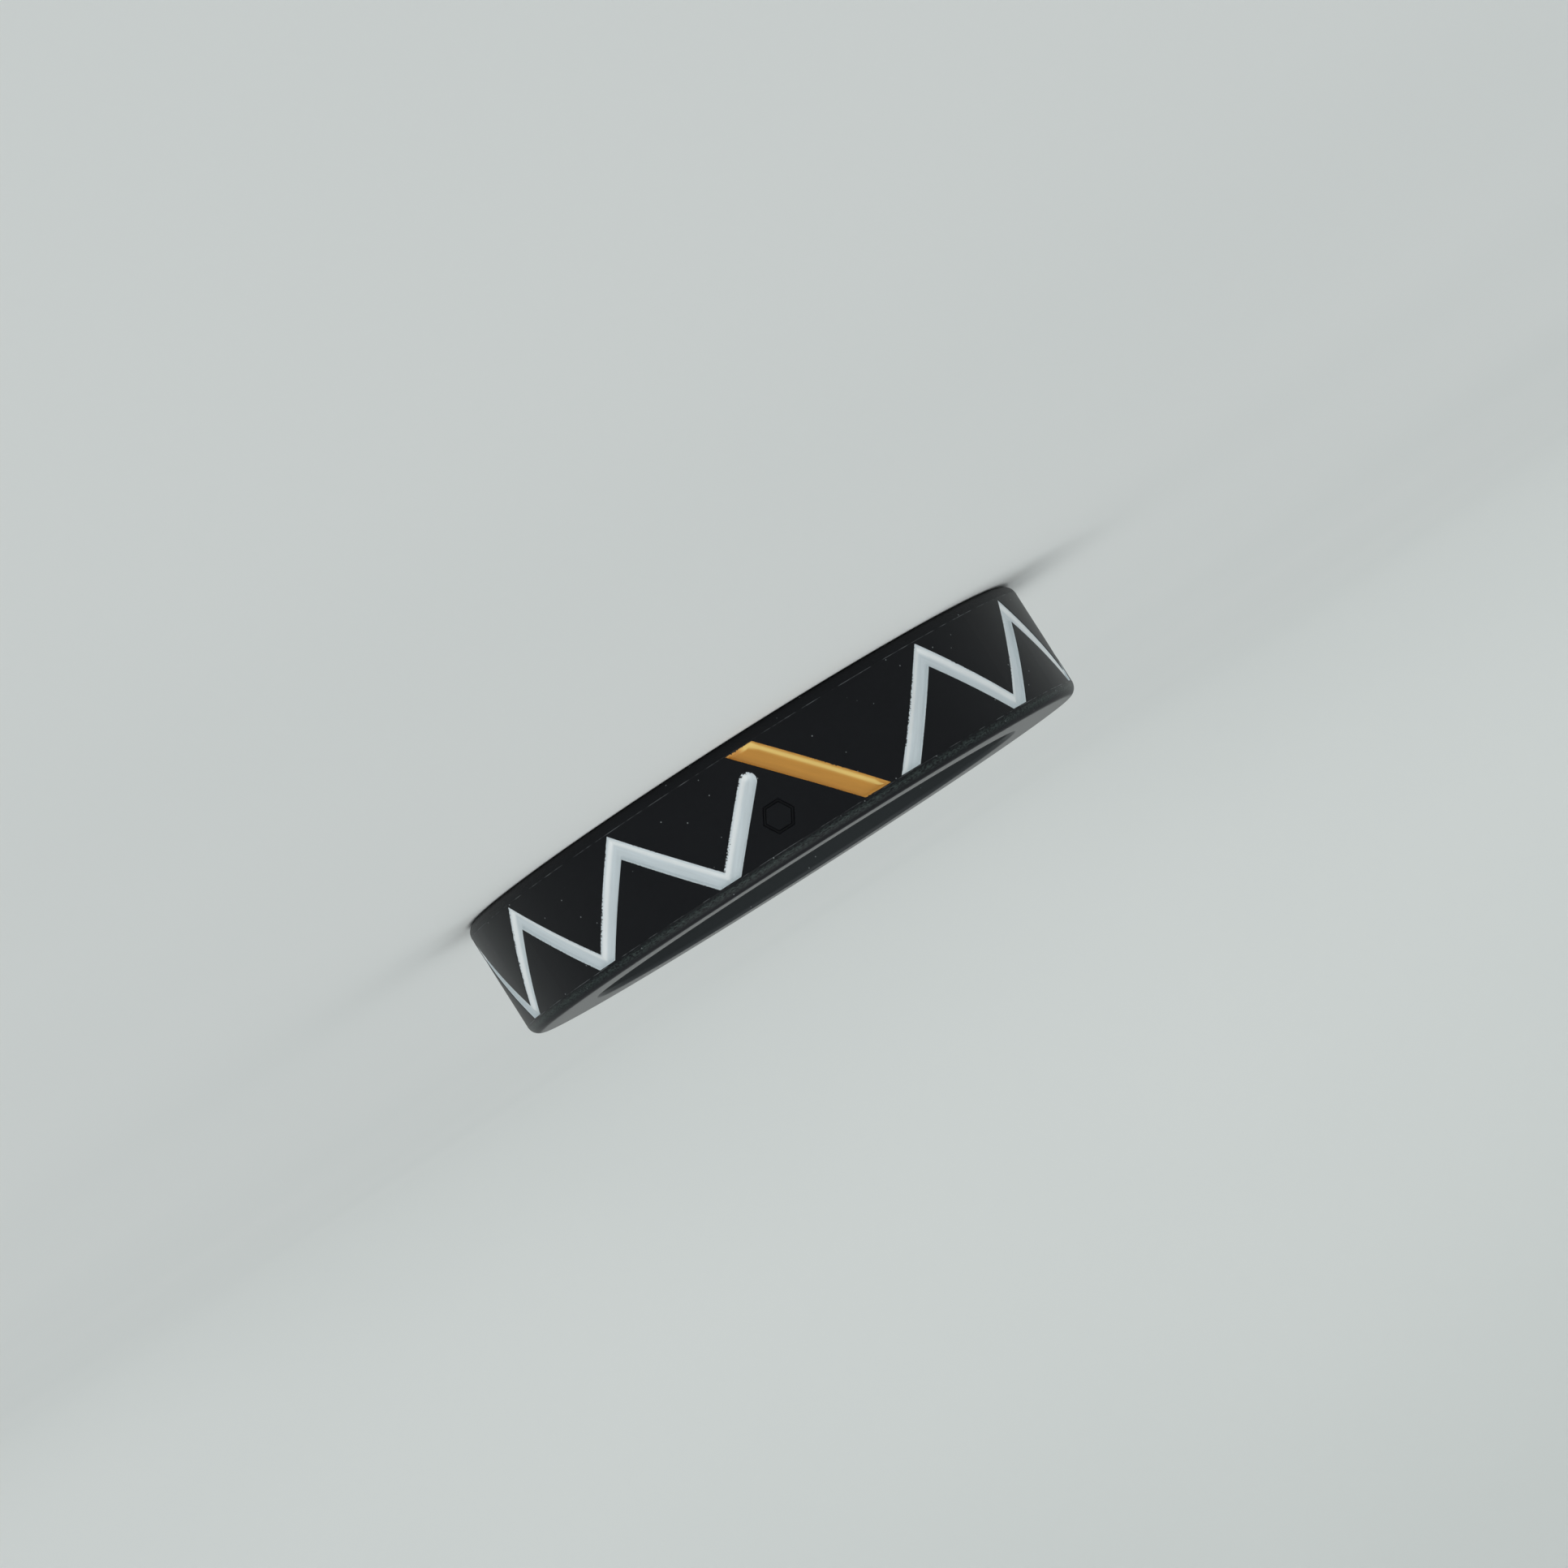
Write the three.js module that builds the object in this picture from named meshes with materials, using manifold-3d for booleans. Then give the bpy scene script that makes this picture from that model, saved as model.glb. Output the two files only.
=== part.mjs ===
// Moulded rubber wristband with two colour-filled zigzags and two amber bars.
// Millimetres, +Z up. The band lies on one side face, its axis is the Z axis, and the
// origin is the middle of the circle that it lies on. -Y is the front amber bar's side.
import * as THREE from 'three';
import { mergeVertices } from 'three/addons/utils/BufferGeometryUtils.js';
import Module from 'manifold-3d';

const wasm = await Module();
wasm.setup();

// Band cross-section
const innerDiameter = 57.3;       // bore that goes round the wrist, 180 mm round
const wallThickness = 9;          // bore to outer face
const bandWidth = 15;             // side face to side face
const outerEdgeRadius = 1.4;      // rounding between the outer face and the side faces
const innerEdgeRadius = 0.5;      // rounding between the bore and the side faces

// Pattern on the outer face, in lengths along the face and up the band
const motifCount = 2;             // the same motif faces front and back
const strokesPerRun = 10;         // whole zigzag strokes between two motifs
const barToCrest = 14.1;          // bar's middle to the first crest after it
const roundEndGap = 0.7;          // rubber between the bar and the zigzag's rounded end
const cutEndGap = 1.2;            // rubber between the zigzag's cut end and the next bar
const zigzagStrokeWidth = 2.14;   // measured square to the stroke
const barStrokeWidth = 2.67;      // measured square to the bar
const crestMargin = 0.05;         // cut crests and bar ends stop this far inside the face
const tipMargin = 0.13;           // pointed tips stop this far inside the face

// Sunk channels, the ink in them, and the sunk mark
const channelDepth = 0.6;         // face down to a channel's floor
const inkRecess = 0.2;            // face down to the ink's surface
const inkClearance = 0.05;        // between the ink and the channel's walls and floor
const markSides = 6;              // plain hexagon outline
const markAcrossFlats = 3.5;
const markLineWidth = 0.4;
const markDepth = 0.3;
const markToZigzag = 0.9;         // rubber between the mark's corners and the first stroke
const markAboveMiddle = 2.6;      // band's middle to the mark's middle, up the band

// Smoothness
const turnSegments = 144;         // facets round the band
const edgeSegments = 4;           // facets in each rounded edge
const stationSpacing = 1.9;       // longest step between two columns of a stroke
const roundEndSteps = 8;          // columns across the rounded end
const cutterOverrun = 1;          // how far a cutter stands out of the face
const mergeDistance = 1e-5;       // vertices closer than this are one vertex
const closingPasses = 12;         // passes that settle the zigzag's pitch

// What follows from those sizes
const innerRadius = innerDiameter / 2;
const outerRadius = innerRadius + wallThickness;
const middleHeight = bandWidth / 2;
const faceBottom = outerEdgeRadius;
const faceTop = bandWidth - outerEdgeRadius;
const motifLength = (2 * Math.PI * outerRadius) / motifCount;
const crestHeight = faceTop - crestMargin;
const tipHeight = faceBottom + tipMargin;
const barHeight = faceTop - faceBottom - 2 * crestMargin;
const { halfPitch, strokeRise } = closedPattern();
const strokeLean = Math.atan2(halfPitch, strokeRise);
const strokeSlope = strokeRise / halfPitch;
const barToRoundEnd = roundEndPlace();
const markCornerRadius = polygonRadius(markAcrossFlats);
const barToMark = markPlace();

// Rise of a stroke's centreline whose outline fills the height between crest and tip:
// rise + width / (2 sin(lean)) = height, with tan(lean) = run / rise.
function riseOfStroke(height, run, width) {
  const share = width / (2 * run);
  const rest = 1 - share * share;
  return (height - share * Math.hypot(height, run * Math.sqrt(rest))) / rest;
}

// The pitch and rise that close the pattern round the band. The bar leans as the strokes do,
// so how far it reaches follows from the pitch, and the pitch is found in a few passes.
function closedPattern() {
  let pattern = { halfPitch: (motifLength - 2 * barToCrest) / strokesPerRun };
  for (let pass = 0; pass < closingPasses; pass++) {
    const run = pattern.halfPitch;
    const rise = riseOfStroke(crestHeight - tipHeight, run, zigzagStrokeWidth);
    const barReach = (barHeight / 2) * (run / rise);
    const cutHalves = ((barStrokeWidth + zigzagStrokeWidth) / 2) * (Math.hypot(run, rise) / rise);
    const barToLastCrest = barReach + cutHalves + cutEndGap;
    pattern = {
      halfPitch: (motifLength - barToCrest - barToLastCrest) / strokesPerRun,
      strokeRise: rise,
    };
  }
  return pattern;
}

// How far along from the bar's middle the rounded end's middle lies: where the stroke that
// climbs to the first crest is as far from the bar's centreline as the gap and widths ask.
function roundEndPlace() {
  const centreToCentre = roundEndGap + (barStrokeWidth + zigzagStrokeWidth) / 2;
  const rise = centreToCentre * Math.hypot(1, strokeSlope) + middleHeight - crestHeight;
  return (rise + barToCrest * strokeSlope) / (2 * strokeSlope);
}

function polygonRadius(acrossFlats) {
  return acrossFlats / 2 / Math.cos(Math.PI / markSides);
}

// How far along from the bar's middle the mark's middle lies, left of the first stroke.
function markPlace() {
  const strokeAtMark = barToCrest - (crestHeight - middleHeight - markAboveMiddle) / strokeSlope;
  const centreToStroke = markCornerRadius + markToZigzag + zigzagStrokeWidth / 2;
  return strokeAtMark - centreToStroke / Math.cos(strokeLean);
}

// ---- turning geometries into solids and back

function toManifold(geometry) {
  const bare = geometry.clone();
  bare.deleteAttribute('normal');
  bare.deleteAttribute('uv');
  const merged = mergeVertices(bare, mergeDistance);
  const corners = [];
  const index = merged.index.array;
  for (let i = 0; i < index.length; i += 3) {
    const [a, b, c] = [index[i], index[i + 1], index[i + 2]];
    if (a !== b && b !== c && c !== a) corners.push(a, b, c);
  }
  return new wasm.Manifold(new wasm.Mesh({
    numProp: 3,
    vertProperties: new Float32Array(merged.attributes.position.array),
    triVerts: new Uint32Array(corners),
  }));
}

function toGeometry(solid) {
  const { vertProperties, triVerts } = solid.getMesh();
  const geometry = new THREE.BufferGeometry();
  geometry.setAttribute('position', new THREE.BufferAttribute(vertProperties, 3));
  geometry.setIndex(new THREE.BufferAttribute(triVerts, 1));
  geometry.computeVertexNormals();
  return geometry;
}

// ---- the pattern's outlines: along is measured round the outer face, height up the band

// A point of the flat pattern, wrapped onto the band at a radius. The front bar is at 0.
function wrapPoint(along, height, radius) {
  const turn = along / outerRadius;
  return new THREE.Vector3(radius * Math.sin(turn), -radius * Math.cos(turn), height);
}

// A solid between two radii over a flat outline given by its bottom and top edges.
function wrapStrip({ stations, bottom, top }, lowRadius, highRadius) {
  const columns = stations.length - 1;
  const geometry = new THREE.BoxGeometry(columns, 1, 1, columns, 1, 1);
  const position = geometry.attributes.position;
  for (let i = 0; i < position.count; i++) {
    const along = stations[Math.round(position.getX(i) + columns / 2)];
    const height = position.getY(i) > 0 ? top(along) : bottom(along);
    const radius = position.getZ(i) > 0 ? highRadius : lowRadius;
    position.setXYZ(i, ...wrapPoint(along, height, radius));
  }
  return geometry;
}

// Stations in rising order from a set of corners, with long gaps filled in.
function fillStations(corners) {
  const sorted = [...corners].sort((a, b) => a - b);
  const stations = [sorted[0]];
  for (const corner of sorted.slice(1)) {
    const start = stations.at(-1);
    const steps = Math.ceil((corner - start) / stationSpacing);
    for (let i = 1; i <= steps; i++) stations.push(start + ((corner - start) * i) / steps);
  }
  return stations;
}

// One zigzag from the rounded end beside its own motif's bar to the cut end beside the next
// motif's bar. inset shrinks the outline evenly, which turns the channel into its ink.
function zigzagOutline(motif, inset) {
  const firstCrest = motif * motifLength + barToCrest;
  const lastCrest = firstCrest + strokesPerRun * halfPitch;
  const halfWidth = zigzagStrokeWidth / 2 - inset;
  const halfHeight = halfWidth / Math.sin(strokeLean);
  const halfCut = (halfHeight - inset) * Math.tan(strokeLean);
  const cutHeight = crestHeight - inset;
  const endAlong = motif * motifLength + barToRoundEnd;
  const endHeight = crestHeight - (firstCrest - endAlong) * strokeSlope;
  const endShoulder = halfWidth * Math.cos(strokeLean);

  const centre = (along) => {
    if (along > lastCrest) return crestHeight + (along - lastCrest) * strokeSlope;
    const phase = Math.abs((along - firstCrest) / halfPitch) % 2;
    return crestHeight - strokeRise * (1 - Math.abs(1 - phase));
  };
  const roundEnd = (along) => Math.sqrt(Math.max(0, halfWidth ** 2 - (along - endAlong) ** 2));
  const bottom = (along) => (along < endAlong + endShoulder
    ? endHeight - roundEnd(along) : Math.min(centre(along) - halfHeight, cutHeight));
  const top = (along) => (along < endAlong - endShoulder
    ? endHeight + roundEnd(along) : Math.min(centre(along) + halfHeight, cutHeight));

  const corners = [endAlong - endShoulder];
  const endSweep = Math.PI - strokeLean;
  for (let i = 0; i <= roundEndSteps; i++) {
    corners.push(endAlong - halfWidth * Math.cos((i / roundEndSteps) * endSweep));
  }
  for (let stroke = 0; stroke <= strokesPerRun; stroke++) {
    const along = firstCrest + stroke * halfPitch;
    corners.push(along);
    if (stroke % 2 === 0) corners.push(along - halfCut, along + halfCut);
  }
  return { stations: fillStations(corners), bottom, top };
}

// One straight bar across the whole face, parallel to the zigzag's rising strokes.
function barOutline(motif, inset) {
  const middle = motif * motifLength;
  const halfHeight = (barStrokeWidth / 2 - inset) / Math.sin(strokeLean);
  const low = middleHeight - barHeight / 2 + inset;
  const high = middleHeight + barHeight / 2 - inset;
  const centre = (along) => middleHeight - (along - middle) * strokeSlope;
  const bottom = (along) => Math.min(Math.max(centre(along) - halfHeight, low), high);
  const top = (along) => Math.max(Math.min(centre(along) + halfHeight, high), low);
  const reach = (high - low) / 2 / strokeSlope;
  const halfCut = halfHeight / strokeSlope;
  const corners = [-reach - halfCut, -reach + halfCut, reach - halfCut, reach + halfCut];
  return { stations: fillStations(corners.map((corner) => middle + corner)), bottom, top };
}

function polygonPath(cornerRadius, PathClass) {
  const path = new PathClass();
  for (let i = 0; i < markSides; i++) {
    const angle = (i * 2 * Math.PI) / markSides;
    const [x, y] = [cornerRadius * Math.cos(angle), cornerRadius * Math.sin(angle)];
    if (i === 0) path.moveTo(x, y);
    else path.lineTo(x, y);
  }
  path.closePath();
  return path;
}

// ---- cutters

function channelCutter(outline) {
  return toManifold(wrapStrip(outline, outerRadius - channelDepth, outerRadius + cutterOverrun));
}

function markCutter(motif) {
  const shape = polygonPath(markCornerRadius, THREE.Shape);
  const insideRadius = polygonRadius(markAcrossFlats - 2 * markLineWidth);
  shape.holes.push(polygonPath(insideRadius, THREE.Path));
  const geometry = new THREE.ExtrudeGeometry(shape, {
    depth: markDepth + cutterOverrun,
    bevelEnabled: false,
  });
  const position = geometry.attributes.position;
  const middle = motif * motifLength + barToMark;
  for (let i = 0; i < position.count; i++) {
    const along = middle + position.getX(i);
    const height = middleHeight + markAboveMiddle + position.getY(i);
    const radius = outerRadius - markDepth + position.getZ(i);
    position.setXYZ(i, ...wrapPoint(along, height, radius));
  }
  return toManifold(geometry);
}

// ---- materials

function moulded(name, color, roughness) {
  return new THREE.MeshStandardMaterial({ name, color, roughness, metalness: 0 });
}

const blackRubber = moulded('black_silicone_rubber', 0x1b1d20, 0.55);
const whiteInk = moulded('white_silicone_ink', 0xd3dade, 0.5);
const amberInk = moulded('amber_silicone_ink', 0xd79b3c, 0.45);

// ---- sub-parts

// Quarter-round between two flats of the section, from one direction to the next.
function edgePoints(centreX, centreY, radius, startAngle) {
  return Array.from({ length: edgeSegments + 1 }, (_, i) => {
    const angle = startAngle + ((i / edgeSegments) * Math.PI) / 2;
    return new THREE.Vector2(centreX + radius * Math.cos(angle), centreY + radius * Math.sin(angle));
  });
}

function bandSection() {
  const outer = outerRadius - outerEdgeRadius;
  const inner = innerRadius + innerEdgeRadius;
  const section = [
    ...edgePoints(outer, outerEdgeRadius, outerEdgeRadius, -Math.PI / 2),
    ...edgePoints(outer, bandWidth - outerEdgeRadius, outerEdgeRadius, 0),
    ...edgePoints(inner, bandWidth - innerEdgeRadius, innerEdgeRadius, Math.PI / 2),
    ...edgePoints(inner, innerEdgeRadius, innerEdgeRadius, Math.PI),
  ];
  return [...section, section[0].clone()];
}

function bandBody() {
  const ring = new THREE.LatheGeometry(bandSection(), turnSegments).rotateX(Math.PI / 2);
  let solid = toManifold(ring);
  for (let motif = 0; motif < motifCount; motif++) {
    solid = solid.subtract(channelCutter(zigzagOutline(motif, 0)));
    solid = solid.subtract(channelCutter(barOutline(motif, 0)));
    solid = solid.subtract(markCutter(motif));
  }
  return new THREE.Mesh(toGeometry(solid), blackRubber);
}

function inkFill(outline, material) {
  const floor = outerRadius - channelDepth + inkClearance;
  const surface = outerRadius - inkRecess;
  return new THREE.Mesh(toGeometry(toManifold(wrapStrip(outline, floor, surface))), material);
}

// ---- assembly

const wristband = new THREE.Group();

function addPart(name, mesh) {
  mesh.name = name;
  wristband.add(mesh);
}

addPart('band_body', bandBody());
for (let motif = 0; motif < motifCount; motif++) {
  addPart(`white_zigzag_${motif + 1}`, inkFill(zigzagOutline(motif, inkClearance), whiteInk));
  addPart(`amber_bar_${motif + 1}`, inkFill(barOutline(motif, inkClearance), amberInk));
}

export default wristband;
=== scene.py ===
"""Moulded silicone wristband with colour-filled channels: its looks.

Every piece is modelled flat and in millimetres, as the band would lie if it were slit and
rolled out and seen from its front: x runs along the outer face, y into the wall, z up the
band. The piece is then bent round, brought to metres and given its material.
"""
import math

import bmesh
import bpy
from mathutils import Matrix, Vector


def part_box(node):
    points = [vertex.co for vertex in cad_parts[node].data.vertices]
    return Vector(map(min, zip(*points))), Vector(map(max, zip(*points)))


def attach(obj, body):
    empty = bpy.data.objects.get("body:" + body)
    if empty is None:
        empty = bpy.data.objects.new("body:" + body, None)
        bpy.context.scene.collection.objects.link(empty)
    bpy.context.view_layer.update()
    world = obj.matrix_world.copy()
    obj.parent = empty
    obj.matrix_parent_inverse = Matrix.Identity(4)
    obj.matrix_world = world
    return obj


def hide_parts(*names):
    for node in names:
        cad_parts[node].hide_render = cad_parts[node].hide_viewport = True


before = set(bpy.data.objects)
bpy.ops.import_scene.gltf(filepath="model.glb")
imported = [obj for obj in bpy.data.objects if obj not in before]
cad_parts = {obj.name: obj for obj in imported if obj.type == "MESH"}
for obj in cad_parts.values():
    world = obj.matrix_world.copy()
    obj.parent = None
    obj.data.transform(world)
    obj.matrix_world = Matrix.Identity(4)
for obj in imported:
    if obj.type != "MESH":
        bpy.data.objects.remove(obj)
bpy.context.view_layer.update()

MM = 0.001

# ---- sizes of the band, in millimetres

band_low, band_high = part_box("band_body")
OUTER_RADIUS = band_high.x / MM
BAND_WIDTH = (band_high.z - band_low.z) / MM
WALL = 9.0
OUTER_EDGE = 1.4            # rounding between the outer face and the side faces
INNER_EDGE = 0.5            # rounding between the bore and the side faces
FACE_LOW = OUTER_EDGE
FACE_HIGH = BAND_WIDTH - OUTER_EDGE
MIDDLE = BAND_WIDTH / 2
MOULD_LINE = 0.08           # width of the parting lines along the outer face's edges

# ---- the pattern on the outer face

MOTIF_COUNT = 2
MOTIF = 2 * math.pi * OUTER_RADIUS / MOTIF_COUNT
STROKES = 10                # whole zigzag strokes in a motif
BAR_TO_CREST = 14.1         # bar's middle to the first crest after it
ROUND_END_GAP = 0.7         # rubber between the bar and the zigzag's rounded end
CUT_END_GAP = 1.2           # rubber between the zigzag's cut end and the next bar
ZIGZAG_WIDTH = 2.14
BAR_WIDTH = 2.67
CREST_MARGIN = 0.05         # crests and bar ends stop this far inside the face
TIP_MARGIN = 0.13
CREST = FACE_HIGH - CREST_MARGIN
BASE = FACE_LOW + CREST_MARGIN
TIP = FACE_LOW + TIP_MARGIN
CHANNEL_DEPTH = 0.6
MARK_SIDES = 6
MARK_ACROSS = 3.5
MARK_LINE = 0.4
MARK_DEPTH = 0.3
MARK_TO_ZIGZAG = 0.9
MARK_ABOVE_MIDDLE = 2.6

# ---- how finely it is made

STATION = 1.0               # length of one facet along the face
OUTER_EDGE_STEPS = 10
INNER_EDGE_STEPS = 4
RIM = 0.06                  # rounding of a channel's rim
RIM_STEPS = 3
ROUND_STEPS = 16            # facets of the zigzag's rounded end
SAME_PLACE = 1e-4           # points closer than this are one point
CUT_REACH = 1e-5            # a cut doesn't split an edge closer to its end than this
STRAIGHT = 0.999            # a normal with this share along an axis points along it
SETTLING_ROUNDS = 12        # rounds of adjustment that close the pattern
SMOOTH_ANGLE = math.radians(35)

# ---- the ink; a trough's points are (distance in from its edge, depth below the face)

INK_GAP = 0.01              # under the ink
ZIGZAG_TROUGH = [
    (0, 0.06), (0.1, 0.075), (0.19, 0.11), (0.28, 0.2), (0.36, 0.3), (0.44, 0.36), (0.52, 0.39),
    (0.6, 0.41)
]
BAR_TROUGH = [
    (0, 0.06), (0.08, 0.075), (0.17, 0.11), (0.25, 0.2), (0.33, 0.3), (0.42, 0.35), (0.55, 0.38),
    (0.75, 0.39)
]
ZIGZAG_SAG = (0, 0.5)       # the trough's bottom lies this far off its middle: along, up
BAR_SAG = (0.75, 0)

# ---- the camera, in millimetres and degrees

CAMERA_LENS = 118.2
CAMERA_SENSOR = 36
CAMERA_DISTANCE = 602.4     # from the band's centre, back along the view
CAMERA_AZIMUTH = 9.21
CAMERA_ELEVATION = 2.855
CAMERA_ROLL = 147.505
CAMERA_RIGHT = 1.35         # the band's centre lies this far left of the view's middle
CAMERA_UP = 3.15            # and this far below it
CAMERA_NEAREST = 10         # nothing closer than this is seen

# ---- the floor, in metres

FLOOR_RADIUS = 0.9
FLOOR_SIDES = 96
SWEEP_RADIUS = 0.35         # the floor's rim turns up into a low wall
SWEEP_STEPS = 10

# ---- patterns on the surfaces, as the distance between their features in millimetres

RUBBER_CLOUD = 9            # slow change of tone over the rubber
HIGHLIGHT_BREAK = 1.6           # how far the painted highlight on the flash runs before it breaks off
DUST_CELL = 1.1             # some of these cells hold one speck
GRAIN = 0.16                # really near 0.05, and drawn coarser so that it shows
CREASE = 0.14               # across the creases
FRAY = 0.2                  # bites in the ink's edge
FRAY_PATCH = 5              # stretches of edge that are bitten more or less
PINHOLE_CELL = 3.1          # a few of these cells hold one pinhole
BOARD_CLOUD = 180

# ---- how the patterns lie, in millimetres unless a line says otherwise

GRAIN_RELIEF = 0.02
CREASE_RELIEF = 0.04
STREAK_RELIEF = 0.03
CREASE_STRETCH = 0.4        # share of their real number along the edge, so they are long
CREASE_START = 0.05         # past the end of the outer face
CREASE_FULL = 0.5
CREASE_FADE = 0.85          # short of the side face
CREASE_END = 0.25
GLOSS_START = 0.12          # short of the side face
GLOSS_FULL = 0.02
BORE_START = 0.6            # outside the bore
BORE_FULL = 0.2
PLAIN_DUST_CELLS = 0.62     # share of the cells without a speck
SPECK_FULL = 0.05           # radius of a speck, as a share of its cell
SPECK_END = 0.085
PINHOLE_CELLS = 0.2         # share of the cells with a pinhole
PINHOLE_FULL = 0.015        # radius of a pinhole, as a share of its cell
PINHOLE_END = 0.03
PALE_START = 0.15           # painted light: the ink is painted paler between these distances above its centreline
PALE_FULL = -0.6
FIRST_EDGE_BITE = 0.1       # deepest bite in the edge that was wiped first
LAST_EDGE_BITE = 0.24       # and in the edge that was wiped last
FIRST_SIDE = -0.2           # from the centreline towards the side that was wiped last
LAST_SIDE = 0.5
THIN_EDGE = 0.05            # over which the ink at a bite goes from none to full

# ---- the soft boxes: azimuth and height in degrees, distance and side in metres, power in watts

KEY_LIGHT = {"azimuth": 32, "height": 62, "distance": 5.0, "side": 6.5, "power": 172}
FILL_LIGHT = {"azimuth": -62, "height": 42, "distance": 5.0, "side": 4.0, "power": 12}
LAMP_TINT = "#fdfefe"
SURROUND_TINT = "#dfe4e6"
SURROUND_STRENGTH = 0.36


def settle_pitch():
    """(half pitch, rise) of the zigzag strokes that close the pattern round the band."""
    half_pitch = (MOTIF - 2 * BAR_TO_CREST) / STROKES
    rise = CREST - TIP
    for _ in range(SETTLING_ROUNDS):
        share = ZIGZAG_WIDTH / (2 * half_pitch)
        rest = 1 - share * share
        rise = CREST - TIP - share * math.hypot(CREST - TIP, half_pitch * math.sqrt(rest))
        rise /= rest
        bar_reach = (CREST - BASE) / 2 * half_pitch / rise
        halves = (BAR_WIDTH + ZIGZAG_WIDTH) / 2 * math.hypot(half_pitch, rise) / rise
        to_last_crest = bar_reach + halves + CUT_END_GAP
        half_pitch = (MOTIF - BAR_TO_CREST - to_last_crest) / STROKES
    return half_pitch, rise


HALF_PITCH, RISE = settle_pitch()
SLOPE = RISE / HALF_PITCH
LEAN = math.atan2(HALF_PITCH, RISE)
LAST_CREST = BAR_TO_CREST + STROKES * HALF_PITCH
ZIGZAG_HALF_HEIGHT = ZIGZAG_WIDTH / 2 / math.sin(LEAN)
BAR_HALF_HEIGHT = BAR_WIDTH / 2 / math.sin(LEAN)
ROUND_X = (
    (ROUND_END_GAP + (BAR_WIDTH + ZIGZAG_WIDTH) / 2) * math.hypot(1, SLOPE)
    + MIDDLE - CREST + BAR_TO_CREST * SLOPE
) / (2 * SLOPE)
ROUND_Z = CREST - (BAR_TO_CREST - ROUND_X) * SLOPE
SEAM = LAST_CREST + ZIGZAG_HALF_HEIGHT / SLOPE + CUT_END_GAP / 2 - MOTIF
MARK_CORNER = MARK_ACROSS / 2 / math.cos(math.pi / MARK_SIDES)
MARK_X = (
    BAR_TO_CREST - (CREST - MIDDLE - MARK_ABOVE_MIDDLE) / SLOPE
    - (MARK_CORNER + MARK_TO_ZIGZAG + ZIGZAG_WIDTH / 2) / math.cos(LEAN)
)
MARK_Z = MIDDLE + MARK_ABOVE_MIDDLE


def bar_centre(x):
    return MIDDLE - x * SLOPE


def zigzag_centre(x):
    """Height of the zigzag's centreline; past the last crest it climbs on."""
    if x > LAST_CREST:
        return CREST + (x - LAST_CREST) * SLOPE
    phase = abs((x - BAR_TO_CREST) / HALF_PITCH) % 2
    return CREST - RISE * (1 - abs(1 - phase))


def bar_edge_distance(x, z):
    """How far a point lies inside the bar's outline; negative outside."""
    across = (BAR_HALF_HEIGHT - abs(z - bar_centre(x))) * math.sin(LEAN)
    return min(across, z - BASE, CREST - z)


def zigzag_edge_distance(x, z):
    """How far a point lies inside the zigzag's outline; negative outside."""
    along = (x - ROUND_X) * math.sin(LEAN) + (z - ROUND_Z) * math.cos(LEAN)
    if x < BAR_TO_CREST and along < 0:
        return ZIGZAG_WIDTH / 2 - math.hypot(x - ROUND_X, z - ROUND_Z)
    across = (ZIGZAG_HALF_HEIGHT - abs(z - zigzag_centre(x))) * math.sin(LEAN)
    return min(across, CREST - z)


# ---- working in edit mode

def open_mesh(obj):
    """Makes obj the only selected object and opens its mesh with nothing selected."""
    bpy.ops.object.select_all(action="DESELECT")
    obj.select_set(True)
    bpy.context.view_layer.objects.active = obj
    bpy.ops.object.mode_set(mode="EDIT")
    bpy.ops.mesh.select_all(action="DESELECT")


def close_mesh():
    bpy.ops.object.mode_set(mode="OBJECT")


def pick_faces(test):
    """Selects only the faces whose middle and normal pass the test."""
    bpy.ops.mesh.select_mode(type="FACE")
    bpy.ops.mesh.select_all(action="DESELECT")
    mesh = bpy.context.edit_object.data
    shape = bmesh.from_edit_mesh(mesh)
    for face in shape.faces:
        face.select_set(bool(test(face.calc_center_median(), face.normal)))
    bmesh.update_edit_mesh(mesh)


def pick_edges(test):
    """Selects only the edges whose two ends pass the test."""
    bpy.ops.mesh.select_mode(type="EDGE")
    bpy.ops.mesh.select_all(action="DESELECT")
    mesh = bpy.context.edit_object.data
    shape = bmesh.from_edit_mesh(mesh)
    for edge in shape.edges:
        edge.select_set(bool(test(edge.verts[0].co, edge.verts[1].co)))
    bmesh.update_edit_mesh(mesh)


def near(a, b):
    return abs(a - b) < SAME_PLACE


def on_face(middle, normal):
    return normal.y < -STRAIGHT and near(middle.y, 0)


def cut_face(test, x, z, run, climb):
    """Cuts the outer face's polygons that pass the test along a line through (x, z)."""
    pick_faces(lambda middle, normal: on_face(middle, normal) and test(middle.x, middle.z))
    square = Vector((-climb, 0, run)).normalized()
    bpy.ops.mesh.bisect(plane_co=(x, 0, z), plane_no=square, threshold=CUT_REACH)


def apply_modifiers(obj):
    bpy.ops.object.select_all(action="DESELECT")
    obj.select_set(True)
    bpy.context.view_layer.objects.active = obj
    for name in [modifier.name for modifier in obj.modifiers]:
        bpy.ops.object.modifier_apply(modifier=name)


# ---- the flat band

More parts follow.
